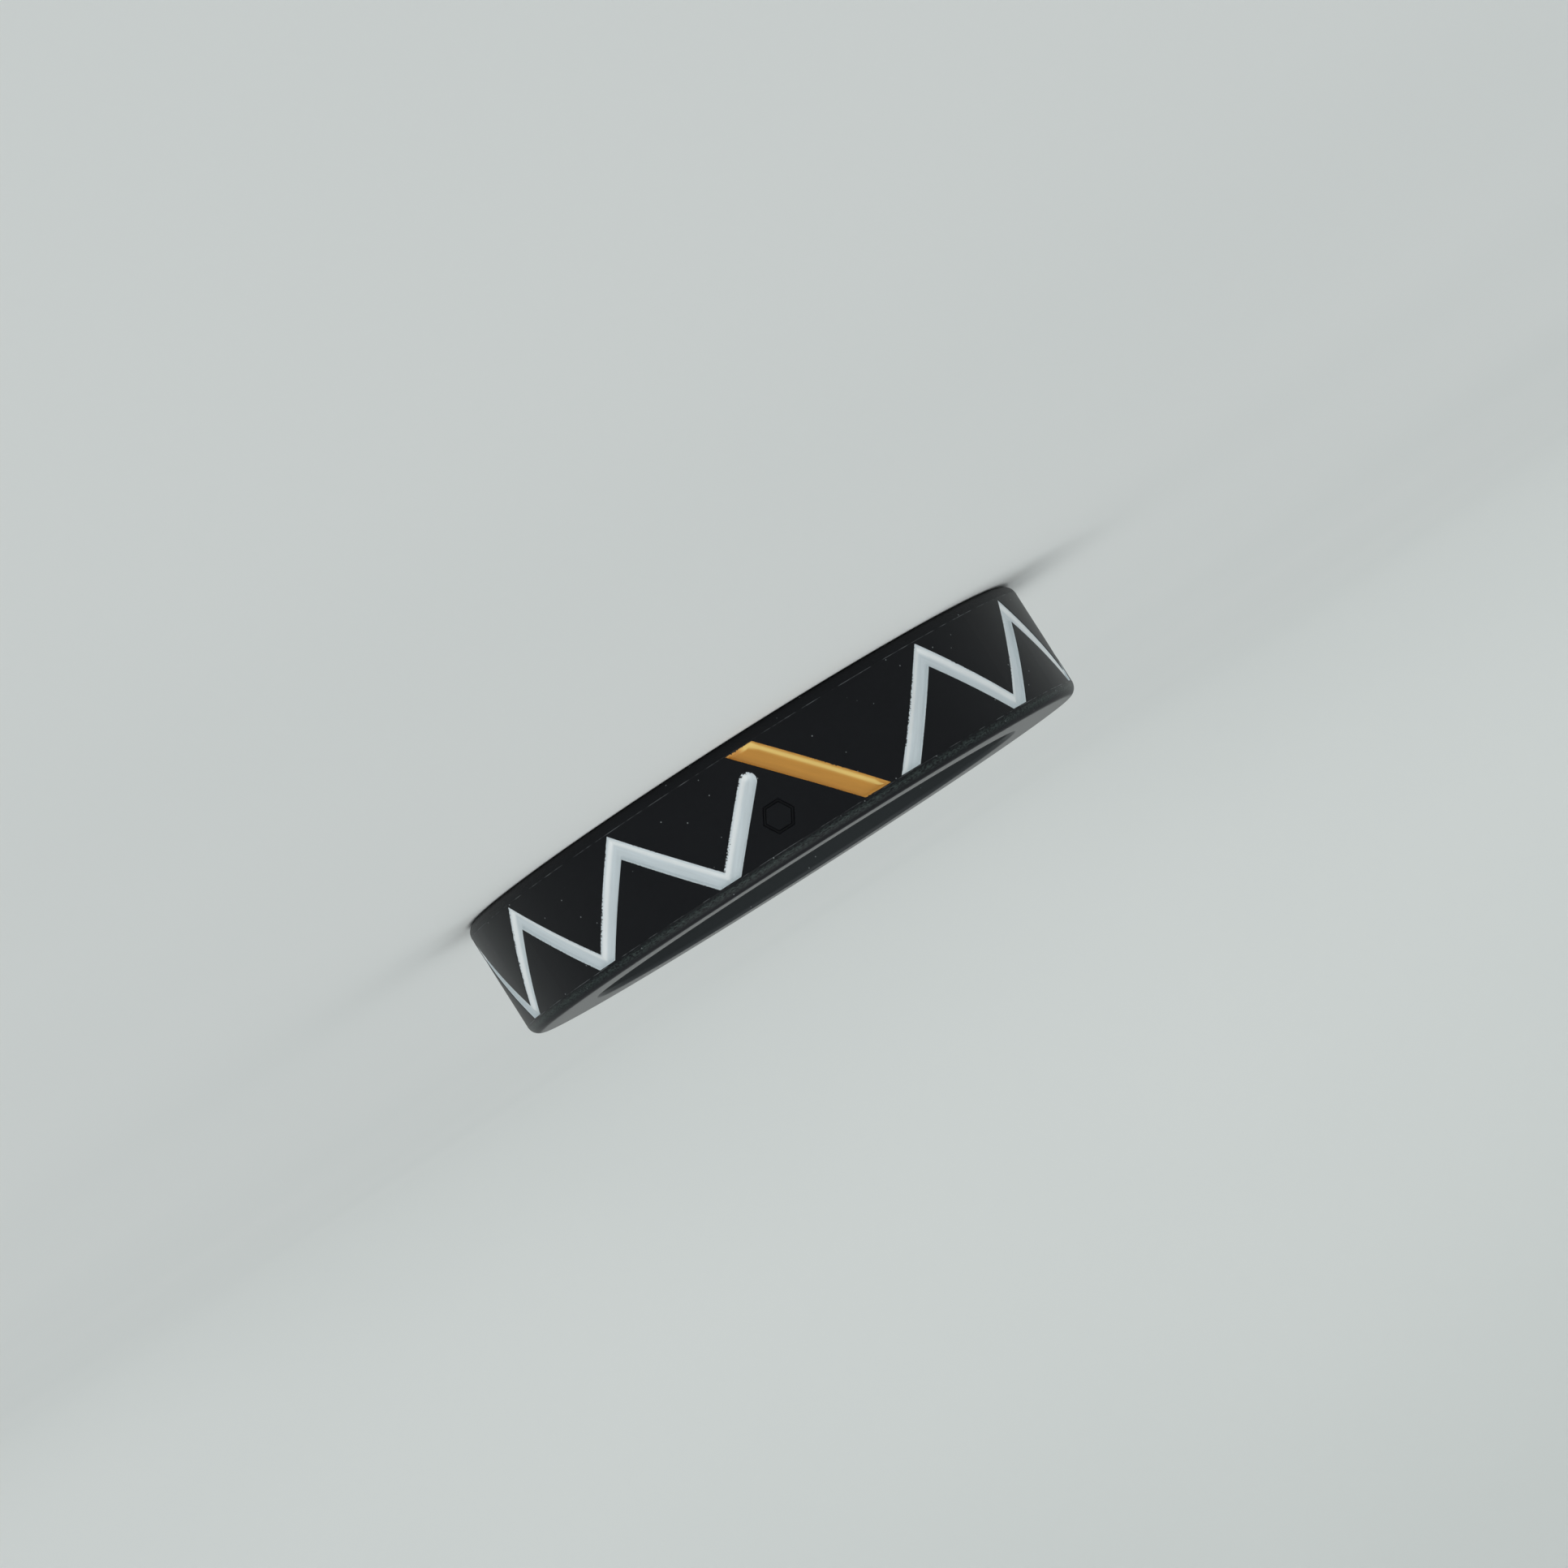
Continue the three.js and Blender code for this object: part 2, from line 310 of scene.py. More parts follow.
def flat_strip():
    """One motif's length of the band as a block with its four long edges rounded."""
    bpy.ops.object.select_all(action="DESELECT")
    bpy.ops.mesh.primitive_cube_add(size=1)
    strip = bpy.context.object
    strip.name = "band"
    open_mesh(strip)
    bpy.ops.mesh.select_all(action="SELECT")
    bpy.ops.transform.resize(value=(MOTIF, WALL, BAND_WIDTH))
    bpy.ops.transform.translate(value=(SEAM + MOTIF / 2, WALL / 2, MIDDLE))
    for y, radius, steps in (
        (0, OUTER_EDGE, OUTER_EDGE_STEPS), (WALL, INNER_EDGE, INNER_EDGE_STEPS)
    ):
        pick_edges(lambda a, b: near(a.y, y) and near(b.y, y) and not near(a.x, b.x))
        bpy.ops.mesh.bevel(offset=radius, offset_type="OFFSET", segments=steps, affect="EDGES")
    close_mesh()
    return strip


def cut_pattern():
    """Cuts the bar's and the zigzag's outlines into the outer face of the open strip."""
    def everywhere(x, z):
        return True

    def bar_column(x, z):
        return x < BAR_TO_CREST and BASE < z < CREST

    cut_face(everywhere, 0, BASE, 1, 0)
    cut_face(everywhere, 0, CREST, 1, 0)
    for stroke in range(STROKES + 1):
        cut_face(everywhere, BAR_TO_CREST + stroke * HALF_PITCH, 0, 0, 1)

    for side in (-1, 1):
        cut_face(bar_column, 0, MIDDLE + side * BAR_HALF_HEIGHT, 1, -SLOPE)
    cut_rounded_stroke()

    for stroke in range(STROKES + 1):
        start = BAR_TO_CREST + stroke * HALF_PITCH

        def column(x, z):
            return start < x < start + HALF_PITCH and BASE < z < CREST

        climb = -SLOPE if stroke % 2 == 0 else SLOPE
        foot = CREST if stroke % 2 == 0 else CREST - RISE
        if stroke == STROKES:
            climb = SLOPE
        for side in (-1, 1):
            cut_face(column, start, foot + side * ZIGZAG_HALF_HEIGHT, 1, climb)


def cut_rounded_stroke():
    """Cuts out the stroke that climbs to the first crest, with its rounded lower end."""
    radius = ZIGZAG_WIDTH / 2

    def past_bar(x, z):
        above_bar = z > bar_centre(x) + BAR_HALF_HEIGHT
        return x < BAR_TO_CREST and BASE < z < CREST and above_bar

    def in_stroke_length(x, z):
        along = (x - ROUND_X) * math.sin(LEAN) + (z - ROUND_Z) * math.cos(LEAN)
        return past_bar(x, z) and along > -radius

    def in_stroke(x, z):
        return x < BAR_TO_CREST and zigzag_edge_distance(x, z) > 0

    end_x = ROUND_X - radius * math.sin(LEAN)
    end_z = ROUND_Z - radius * math.cos(LEAN)
    cut_face(past_bar, end_x, end_z, -math.cos(LEAN), math.sin(LEAN))
    for side in (-1, 1):
        cut_face(in_stroke_length, BAR_TO_CREST, CREST + side * ZIGZAG_HALF_HEIGHT, 1, SLOPE)
    for step in range(1, ROUND_STEPS):
        turn = math.pi * step / ROUND_STEPS
        if step * 2 == ROUND_STEPS:     # this cut was the stroke's end
            continue
        out_x = -math.cos(turn) * math.cos(LEAN) - math.sin(turn) * math.sin(LEAN)
        out_z = math.cos(turn) * math.sin(LEAN) - math.sin(turn) * math.cos(LEAN)
        touch_x = ROUND_X + radius * out_x
        touch_z = ROUND_Z + radius * out_z
        cut_face(in_stroke, touch_x, touch_z, -out_z, out_x)


def in_channel(x, z):
    return bar_edge_distance(x, z) > 0 or zigzag_edge_distance(x, z) > 0


def inset_steps(profile):
    """Insets the selected faces along a profile of (distance in, depth) points."""
    last_in, last_depth = profile[0]
    for distance, depth in profile[1:]:
        bpy.ops.mesh.inset(
            thickness=distance - last_in, depth=last_depth - depth,
            use_even_offset=True, use_boundary=False,
        )
        last_in, last_depth = distance, depth


def rim_profile():
    """Quarter-round from the face down into a channel."""
    turns = [math.pi / 2 * step / RIM_STEPS for step in range(RIM_STEPS + 1)]
    return [(RIM * math.sin(turn), RIM * (1 - math.cos(turn))) for turn in turns]


def cut_mark(strip):
    """Sinks a plain hexagon outline with a chamfered floor into the outer face."""
    bpy.ops.object.select_all(action="DESELECT")
    bpy.ops.mesh.primitive_circle_add(
        vertices=MARK_SIDES, radius=MARK_CORNER, fill_type="NGON"
    )
    cutter = bpy.context.object
    open_mesh(cutter)
    bpy.ops.mesh.select_all(action="SELECT")
    for turn, axis in ((math.pi / MARK_SIDES, "Z"), (math.pi / 2, "X")):
        bpy.ops.transform.rotate(value=turn, orient_axis=axis, center_override=(0, 0, 0))
    bpy.ops.transform.translate(value=(MARK_X, -MARK_DEPTH, MARK_Z))
    bpy.ops.mesh.inset(thickness=MARK_LINE)
    bpy.ops.mesh.delete(type="FACE")
    bpy.ops.mesh.select_all(action="SELECT")
    chamfer = MARK_LINE / 4
    bpy.ops.mesh.extrude_region_move(
        TRANSFORM_OT_translate={"value": (0, 2 * MARK_DEPTH - chamfer, 0)}
    )
    bpy.ops.mesh.select_all(action="SELECT")
    bpy.ops.mesh.normals_make_consistent(inside=False)
    pick_faces(lambda middle, normal: normal.y > STRAIGHT)
    bpy.ops.mesh.inset(thickness=chamfer, depth=chamfer)
    close_mesh()
    cut = strip.modifiers.new("mark", "BOOLEAN")
    cut.operation = "DIFFERENCE"
    cut.solver = "EXACT"
    cut.object = cutter
    apply_modifiers(strip)
    bpy.data.objects.remove(cutter)


def raise_mould_lines():
    """Raises the fine lines that the mould's parting leaves along both edges of the face."""
    for height in (FACE_LOW, FACE_HIGH):
        def on_line(point):
            return near(point.y, 0) and near(point.z, height)

        def on_crown(point):
            return abs(point.y) < MOULD_LINE / 8 and abs(point.z - height) < MOULD_LINE / 8

        pick_edges(lambda a, b: on_line(a) and on_line(b))
        bpy.ops.mesh.bevel(offset=MOULD_LINE / 2, segments=2, affect="EDGES")
        pick_edges(lambda a, b: on_crown(a) and on_crown(b))
        bpy.ops.transform.translate(value=(0, -MOULD_LINE / 3, 0))


def slice_stations():
    """Cuts the whole open mesh square to its length, so that it bends smoothly."""
    count = round(MOTIF / STATION)
    for station in range(1, count):
        bpy.ops.mesh.select_all(action="SELECT")
        bpy.ops.mesh.bisect(
            plane_co=(SEAM + station * MOTIF / count, 0, 0), plane_no=(1, 0, 0),
            threshold=CUT_REACH,
        )


def bend_round(obj):
    """Bends a flat piece round the band's axis and brings it to metres."""
    ends = [corner[0] for corner in obj.bound_box]
    bend = obj.modifiers.new("bend", "SIMPLE_DEFORM")
    bend.deform_method = "BEND"
    bend.deform_axis = "Z"
    bend.angle = (max(ends) - min(ends)) / OUTER_RADIUS
    apply_modifiers(obj)
    open_mesh(obj)
    bpy.ops.mesh.select_all(action="SELECT")
    bpy.ops.mesh.remove_doubles(threshold=SAME_PLACE)
    bpy.ops.mesh.normals_make_consistent(inside=False)
    bpy.ops.transform.translate(value=(0, -OUTER_RADIUS, 0))
    bpy.ops.transform.resize(value=(MM, MM, MM), center_override=(0, 0, 0))
    close_mesh()
    bpy.ops.object.shade_smooth_by_angle(angle=SMOOTH_ANGLE)
    even = obj.modifiers.new("even shading", "WEIGHTED_NORMAL")
    even.keep_sharp = True
    apply_modifiers(obj)


# ---- the pieces

def mould_band():
    """The rubber ring with its channels, mark and mould lines, and the channels' footprints."""
    strip = flat_strip()
    open_mesh(strip)
    cut_pattern()
    pick_faces(
        lambda middle, normal: on_face(middle, normal) and in_channel(middle.x, middle.z)
    )
    inset_steps(rim_profile())
    bpy.ops.mesh.duplicate()
    bpy.ops.mesh.separate(type="SELECTED")
    pick_faces(lambda middle, normal: normal.y < -STRAIGHT and near(middle.y, RIM))
    bpy.ops.mesh.extrude_region_move(
        TRANSFORM_OT_translate={"value": (0, CHANNEL_DEPTH - RIM, 0)}
    )
    raise_mould_lines()
    close_mesh()
    footprint = next(obj for obj in bpy.context.selected_objects if obj != strip)
    cut_mark(strip)

    open_mesh(strip)
    pick_faces(lambda middle, normal: abs(normal.x) > STRAIGHT and middle.y > CHANNEL_DEPTH)
    bpy.ops.mesh.delete(type="FACE")
    slice_stations()
    close_mesh()
    row = strip.modifiers.new("motifs", "ARRAY")
    row.count = MOTIF_COUNT
    row.use_relative_offset = False
    row.use_constant_offset = True
    row.constant_offset_displace = (-MOTIF, 0, 0)
    row.use_merge_vertices = True
    row.merge_threshold = SAME_PLACE
    apply_modifiers(strip)
    bend_round(strip)
    return strip, footprint


def note_flow(obj, edge_distance, centre):
    """Keeps each point's place in its stroke as "flow" (along it, across it, in from its edge)
    and, as "wiped", how far it lies towards the side that the wiping blade left last."""
    shape = bmesh.from_edit_mesh(obj.data)
    shape.verts.layers.float_vector.new("flow")
    shape.verts.layers.float.new("wiped")
    flow = shape.verts.layers.float_vector["flow"]
    wiped = shape.verts.layers.float["wiped"]
    for vertex in shape.verts:
        x, z = vertex.co.x, vertex.co.z
        across = (z - centre(x)) * math.sin(LEAN)
        climb = (centre(x + SAME_PLACE) - centre(x - SAME_PLACE)) / (2 * SAME_PLACE * SLOPE)
        vertex[flow] = (x / math.sin(LEAN), across, edge_distance(x, z))
        vertex[wiped] = -climb * across
    bmesh.update_edit_mesh(obj.data)


def settle_bottom(obj, profile, sag):
    """Slides the trough's lower levels to one side, so that its two walls differ."""
    shape = bmesh.from_edit_mesh(obj.data)
    reach = profile[-1][0]
    for vertex in shape.verts:
        for (outer, top), (inner, bottom) in zip(profile, profile[1:]):
            if top < vertex.co.y < bottom + SAME_PLACE:
                distance = outer + (inner - outer) * (vertex.co.y - top) / (bottom - top)
                vertex.co.x += sag[0] * distance / reach
                vertex.co.z += sag[1] * distance / reach
                break
    bmesh.update_edit_mesh(obj.data)


def pour_ink(footprint, name, profile, sag, edge_distance, centre):
    """Ink in every motif's channel: a sunk trough that climbs the channel's walls."""
    footprint.name = name
    open_mesh(footprint)
    bpy.ops.mesh.select_all(action="SELECT")
    bpy.ops.mesh.extrude_region_move(
        TRANSFORM_OT_translate={"value": (0, CHANNEL_DEPTH - RIM - INK_GAP, 0)}
    )
    bpy.ops.mesh.select_all(action="SELECT")
    bpy.ops.mesh.normals_make_consistent(inside=False)
    pick_faces(lambda middle, normal: normal.y < -STRAIGHT and near(middle.y, RIM))
    inset_steps(profile)
    slice_stations()
    note_flow(footprint, edge_distance, centre)
    settle_bottom(footprint, profile, sag)
    close_mesh()
    pours = []
    for motif in range(MOTIF_COUNT):
        pour = footprint.copy()
        pour.data = footprint.data.copy()
        pour.name = f"{name}_{motif + 1}"
        bpy.context.collection.objects.link(pour)
        open_mesh(pour)
        bpy.ops.mesh.select_all(action="SELECT")
        bpy.ops.transform.translate(value=(-motif * MOTIF, 0, 0))
        close_mesh()
        bend_round(pour)
        pours.append(pour)
    bpy.data.objects.remove(footprint)
    return pours


def part_footprints(footprint):
    """Parts the channels' footprints into the bar's and the zigzag's."""
    open_mesh(footprint)
    pick_faces(lambda middle, normal: bar_edge_distance(middle.x, middle.z) > 0)
    bpy.ops.mesh.separate(type="SELECTED")
    close_mesh()
    bar = next(obj for obj in bpy.context.selected_objects if obj != footprint)
    return footprint, bar


# ---- materials

def colour(code):
    """Linear colour of an sRGB hex code."""
    shares = [int(code[i:i + 2], 16) / 255 for i in (1, 3, 5)]
    linear = [x / 12.92 if x <= 0.04045 else ((x + 0.055) / 1.055) ** 2.4 for x in shares]
    return (*linear, 1)


def add(tree, kind, settings=None, links=None):
    """Adds a node, sets its properties and sockets, and links its inputs. A socket is given by
    name or number: a colour Mix takes 0 (share), 6 and 7 and gives 2, a float Mix 0, 2 and 3."""
    node = tree.nodes.new(kind)
    for name, value in (settings or {}).items():
        if isinstance(name, str) and hasattr(node, name):
            setattr(node, name, value)
        else:
            node.inputs[name].default_value = value
    for name, socket in (links or {}).items():
        tree.links.new(socket, node.inputs[name])
    return node


def new_material(name):
    material = bpy.data.materials.new(name)
    material.use_nodes = True
    material.node_tree.nodes.clear()
    return material


def per_mm(size):
    """Scale of a pattern in metres whose features are about size millimetres apart."""
    return 1 / (size * MM)


def moulded_black_silicone():
    """Black silicone rubber from a satin-blasted mould: a deep, slightly blue black with a
    soft broad sheen, a fine even grain, a broken paler line painted along the flash at both
    edges of the face as a painted highlight, fine creases on the rounded edges with a greenish
    painted highlight in those of the upper one, and a little dust."""
    material = new_material("moulded_black_silicone")
    tree = material.node_tree
    place = add(tree, "ShaderNodeTexCoord").outputs["Object"]
    height = add(tree, "ShaderNodeSeparateXYZ", None, {0: place}).outputs["Z"]

    cloud = add(
        tree, "ShaderNodeTexNoise", {"Scale": per_mm(RUBBER_CLOUD), "Detail": 3},
        {"Vector": place},
    )
    rubber = add(
        tree, "ShaderNodeMix",
        {"data_type": "RGBA", 6: colour("#0c0d12"), 7: colour("#121418")},
        {0: cloud.outputs["Fac"]},
    )

    # the bore's skin is duller and a little greyer, as it takes up dust
    flattened = add(
        tree, "ShaderNodeVectorMath", {"operation": "MULTIPLY", 1: (1, 1, 0)}, {0: place}
    )
    radius = add(
        tree, "ShaderNodeVectorMath", {"operation": "LENGTH"}, {0: flattened.outputs[0]}
    )
    bore_radius = OUTER_RADIUS - WALL
    in_bore = add(
        tree, "ShaderNodeMapRange",
        {"From Min": (bore_radius + BORE_START) * MM, "From Max": (bore_radius + BORE_FULL) * MM},
        {"Value": radius.outputs["Value"]},
    )
    skinned = add(
        tree, "ShaderNodeMix", {"data_type": "RGBA", 7: colour("#34383a")},
        {0: in_bore.outputs[0], 6: rubber.outputs[2]},
    )

    # painted highlight: a paler broken line painted only on the parting lines along the two edges
    # of the outer face, where light catches the flash's crown
    from_middle = add(
        tree, "ShaderNodeMath", {"operation": "SUBTRACT", 1: MIDDLE * MM}, {0: height}
    )
    off_centre = add(
        tree, "ShaderNodeMath", {"operation": "ABSOLUTE"}, {0: from_middle.outputs[0]}
    )
    on_flash = add(
        tree, "ShaderNodeMath",
        {"operation": "COMPARE", 1: (FACE_HIGH - MIDDLE) * MM, 2: MOULD_LINE / 2 * MM},
        {0: off_centre.outputs[0]},
    )
    breaks = add(
        tree, "ShaderNodeTexNoise", {"Scale": per_mm(HIGHLIGHT_BREAK), "Detail": 4},
        {"Vector": place},
    )
    broken = add(
        tree, "ShaderNodeMapRange", {"From Min": 0.46, "From Max": 0.62},
        {"Value": breaks.outputs["Fac"]},
    )
    on_outside = add(
        tree, "ShaderNodeMath",
        {"operation": "GREATER_THAN", 1: (OUTER_RADIUS - WALL / 2) * MM},
        {0: radius.outputs["Value"]},
    )
    flash_outside = add(
        tree, "ShaderNodeMath", {"operation": "MULTIPLY"},
        {0: on_flash.outputs[0], 1: on_outside.outputs[0]},
    )
    flash_highlight = add(
        tree, "ShaderNodeMath", {"operation": "MULTIPLY"},
        {0: flash_outside.outputs[0], 1: broken.outputs[0]},
    )
    # the paler colour of the painted highlight on the flash
    with_flash_highlight = add(
        tree, "ShaderNodeMix", {"data_type": "RGBA", 7: colour("#55585a")},
        {0: flash_highlight.outputs[0], 6: skinned.outputs[2]},
    )

    # dust: one speck in some of the cells of a coarse cell pattern
    cells = add(
        tree, "ShaderNodeTexVoronoi", {"Scale": per_mm(DUST_CELL)}, {"Vector": place}
    )
    chosen = add(tree, "ShaderNodeSeparateColor", None, {0: cells.outputs["Color"]})
    is_chosen = add(
        tree, "ShaderNodeMath", {"operation": "GREATER_THAN", 1: PLAIN_DUST_CELLS},
        {0: chosen.outputs[0]},
    )
    speck = add(
        tree, "ShaderNodeMapRange",
        {"From Min": SPECK_END, "From Max": SPECK_FULL, "To Max": 0.9},
        {"Value": cells.outputs["Distance"]},
    )
    dust = add(
        tree, "ShaderNodeMath", {"operation": "MULTIPLY"},
        {0: is_chosen.outputs[0], 1: speck.outputs[0]},
    )
    dusty = add(
        tree, "ShaderNodeMix", {"data_type": "RGBA", 7: colour("#8d9193")},
        {0: dust.outputs[0], 6: with_flash_highlight.outputs[2]},
    )

    # the blasted mould's grain, drawn coarser than it is so that it shows
    grain = add(
        tree, "ShaderNodeTexNoise", {"Scale": per_mm(GRAIN), "Detail": 2}, {"Vector": place}
    )
    sheen = add(
        tree, "ShaderNodeMapRange", {"To Min": 0.38, "To Max": 0.46},
        {"Value": cloud.outputs["Fac"]},
    )

    # the side faces lay against the mould's polished split, so they are glossier
    on_side = add(
        tree, "ShaderNodeMapRange",
        {"From Min": (MIDDLE - GLOSS_START) * MM, "From Max": (MIDDLE - GLOSS_FULL) * MM},
        {"Value": off_centre.outputs[0]},
    )
    gloss = add(
        tree, "ShaderNodeMix", {"data_type": "FLOAT", 3: 0.3},
        {0: on_side.outputs[0], 2: sheen.outputs[0]},
    )

    # creases drawn out along the rounded edges by the pull out of the mould
    drawn = add(
        tree, "ShaderNodeMapping", {"Scale": (CREASE_STRETCH, CREASE_STRETCH, 1)},
        {"Vector": place},
    )
    creases = add(
        tree, "ShaderNodeTexNoise", {"Scale": per_mm(CREASE), "Detail": 3},
        {"Vector": drawn.outputs[0]},
    )
    face_end = MIDDLE - OUTER_EDGE
    on_edge = add(
        tree, "ShaderNodeMapRange",
        {"From Min": (face_end + CREASE_START) * MM, "From Max": (face_end + CREASE_FULL) * MM},
        {"Value": off_centre.outputs[0]},
    )
    off_side = add(
        tree, "ShaderNodeMapRange",
        {"From Min": (MIDDLE - CREASE_END) * MM, "From Max": (MIDDLE - CREASE_FADE) * MM},
        {"Value": off_centre.outputs[0]},
    )
    rounded_edge = add(
        tree, "ShaderNodeMath", {"operation": "MULTIPLY"},
        {0: on_edge.outputs[0], 1: off_side.outputs[0]},
    )
    rounding = add(
        tree, "ShaderNodeMath", {"operation": "MULTIPLY"},
        {0: rounded_edge.outputs[0], 1: on_outside.outputs[0]},
    )
    creased = add(
        tree, "ShaderNodeBump", {"Distance": CREASE_RELIEF * MM},
        {"Height": creases.outputs["Fac"], "Strength": rounding.outputs[0]},
    )

    # painted highlight: a greenish sheen painted into the creases of the upper rounding, where
    # the light from above falls
    crease_highlight = add(
        tree, "ShaderNodeMapRange", {"From Min": 0.36, "From Max": 0.66, "To Max": 0.7},
        {"Value": creases.outputs["Fac"]},
    )
    upper_half = add(
        tree, "ShaderNodeMath", {"operation": "GREATER_THAN", 1: 0}, {0: from_middle.outputs[0]}
    )
    crease_highlight_above = add(
        tree, "ShaderNodeMath", {"operation": "MULTIPLY"},
        {0: crease_highlight.outputs[0], 1: upper_half.outputs[0]},
    )
    crease_highlight_share = add(
        tree, "ShaderNodeMath", {"operation": "MULTIPLY"},
        {0: crease_highlight_above.outputs[0], 1: rounding.outputs[0]},
    )
    # the greenish colour of the painted highlight on the upper rounding
    with_crease_highlight = add(
        tree, "ShaderNodeMix", {"data_type": "RGBA", 7: colour("#46524f")},
        {0: crease_highlight_share.outputs[0], 6: dusty.outputs[2]},
    )

    relief = add(
        tree, "ShaderNodeBump", {"Strength": 0.25, "Distance": GRAIN_RELIEF * MM},
        {"Height": grain.outputs["Fac"], "Normal": creased.outputs[0]},
    )
    shader = add(
        tree, "ShaderNodeBsdfPrincipled", {"IOR": 1.41, "Specular IOR Level": 0.25},
        {"Base Color": with_crease_highlight.outputs[2], "Roughness": gloss.outputs[0],
         "Normal": relief.outputs[0]},
    )
    add(tree, "ShaderNodeOutputMaterial", None, {"Surface": shader.outputs[0]})
    return material


def poured_ink(name, floor_code, lit_wall_code, roughness):
    """Silicone ink poured into a channel and wiped level: painted paler where it climbs a wall
    that faces up, a painted highlight of the light from above, drawn out in soft streaks along
    the stroke, frayed most at the edge that was wiped last, with a few pinholes."""
    material = new_material(name)
    tree = material.node_tree
    surface_place = add(tree, "ShaderNodeTexCoord")
    place, facing = surface_place.outputs["Object"], surface_place.outputs["Normal"]
    flow = add(tree, "ShaderNodeAttribute", {"attribute_name": "flow"}).outputs["Vector"]
    flow_parts = add(tree, "ShaderNodeSeparateXYZ", None, {0: flow})
    across, inward = flow_parts.outputs["Y"], flow_parts.outputs["Z"]

    # painted highlight: the ink is painted paler on walls that face up the band, on the stroke's
    # lower side, where the light from above falls
    up_share = add(tree, "ShaderNodeSeparateXYZ", None, {0: facing}).outputs["Z"]
    facing_up = add(
        tree, "ShaderNodeMapRange",
        {"From Min": 0.04, "From Max": 0.36, "interpolation_type": "SMOOTHSTEP"},
        {"Value": up_share},
    )
    lower_side = add(
        tree, "ShaderNodeMapRange",
        {"From Min": PALE_START, "From Max": PALE_FULL, "interpolation_type": "SMOOTHSTEP"},
        {"Value": across},
    )
    climb = add(
        tree, "ShaderNodeMath", {"operation": "MULTIPLY"},
        {0: facing_up.outputs[0], 1: lower_side.outputs[0]},
    )
    lit_pigment = add(
        tree, "ShaderNodeMix",
        {"data_type": "RGBA", 6: colour(floor_code), 7: colour(lit_wall_code)},
        {0: climb.outputs[0]},
    )

    # soft streaks, long along the stroke and narrow across it
    stretch = add(
        tree, "ShaderNodeMapping", {"Scale": (0.12, 1.6, 0)}, {"Vector": flow}
    )
    streaks = add(
        tree, "ShaderNodeTexNoise", {"Scale": 1.5, "Detail": 3}, {"Vector": stretch.outputs[0]}
    )
    streak_share = add(
        tree, "ShaderNodeMapRange", {"To Min": 0.86, "To Max": 1.1},
        {"Value": streaks.outputs["Fac"]},
    )
    streaked = add(
        tree, "ShaderNodeVectorMath", {"operation": "SCALE"},
        {0: lit_pigment.outputs[2], "Scale": streak_share.outputs[0]},
    )

    # frayed edge: the rubber shows where the ink runs thin
    fray = add(
        tree, "ShaderNodeTexNoise", {"Scale": per_mm(FRAY), "Detail": 3}, {"Vector": place}
    )
    patches = add(
        tree, "ShaderNodeTexNoise", {"Scale": per_mm(FRAY_PATCH), "Detail": 1},
        {"Vector": place},
    )
    patch_reach = add(
        tree, "ShaderNodeMapRange",
        {"From Min": 0.38, "From Max": 0.6, "To Min": 0.3, "To Max": 1},
        {"Value": patches.outputs["Fac"]},
    )
    wiped = add(tree, "ShaderNodeAttribute", {"attribute_name": "wiped"})
    side_reach = add(
        tree, "ShaderNodeMapRange",
        {"From Min": FIRST_SIDE, "From Max": LAST_SIDE,
         "To Min": FIRST_EDGE_BITE, "To Max": LAST_EDGE_BITE},
        {"Value": wiped.outputs["Fac"]},
    )
    deepest = add(
        tree, "ShaderNodeMath", {"operation": "MULTIPLY"},
        {0: patch_reach.outputs[0], 1: side_reach.outputs[0]},
    )
    fray_reach = add(
        tree, "ShaderNodeMapRange", {"From Min": 0.38, "From Max": 0.72},
        {"Value": fray.outputs["Fac"], "To Max": deepest.outputs[0]},
    )
    covered = add(
        tree, "ShaderNodeMath", {"operation": "SUBTRACT"},
        {0: inward, 1: fray_reach.outputs[0]},
    )
    cover = add(
        tree, "ShaderNodeMapRange", {"From Max": THIN_EDGE},
        {"Value": covered.outputs[0]},
    )

    # pinholes: a dark dot in a few cells
    cells = add(
        tree, "ShaderNodeTexVoronoi", {"Scale": per_mm(PINHOLE_CELL)}, {"Vector": place}
    )
    chosen = add(tree, "ShaderNodeSeparateColor", None, {0: cells.outputs["Color"]})
    is_chosen = add(
        tree, "ShaderNodeMath", {"operation": "LESS_THAN", 1: PINHOLE_CELLS},
        {0: chosen.outputs[0]},
    )
    hole = add(
        tree, "ShaderNodeMapRange",
        {"From Min": PINHOLE_END, "From Max": PINHOLE_FULL, "To Max": 0.8},
        {"Value": cells.outputs["Distance"]},
    )
    pinholes = add(
        tree, "ShaderNodeMath", {"operation": "MULTIPLY"},
        {0: is_chosen.outputs[0], 1: hole.outputs[0]},
    )
    whole = add(
        tree, "ShaderNodeMath", {"operation": "SUBTRACT", "use_clamp": True},
        {0: cover.outputs[0], 1: pinholes.outputs[0]},
    )
    surface = add(
        tree, "ShaderNodeMix", {"data_type": "RGBA", 6: colour("#1b1c1e")},
        {0: whole.outputs[0], 7: streaked.outputs[0]},
    )
    relief = add(
        tree, "ShaderNodeBump", {"Strength": 0.3, "Distance": STREAK_RELIEF * MM},
        {"Height": streaks.outputs["Fac"]},
    )
    shader = add(
        tree, "ShaderNodeBsdfPrincipled", {"IOR": 1.42, "Roughness": roughness},
        {"Base Color": surface.outputs[2], "Normal": relief.outputs[0]},
    )
    add(tree, "ShaderNodeOutputMaterial", None, {"Surface": shader.outputs[0]})
    return material


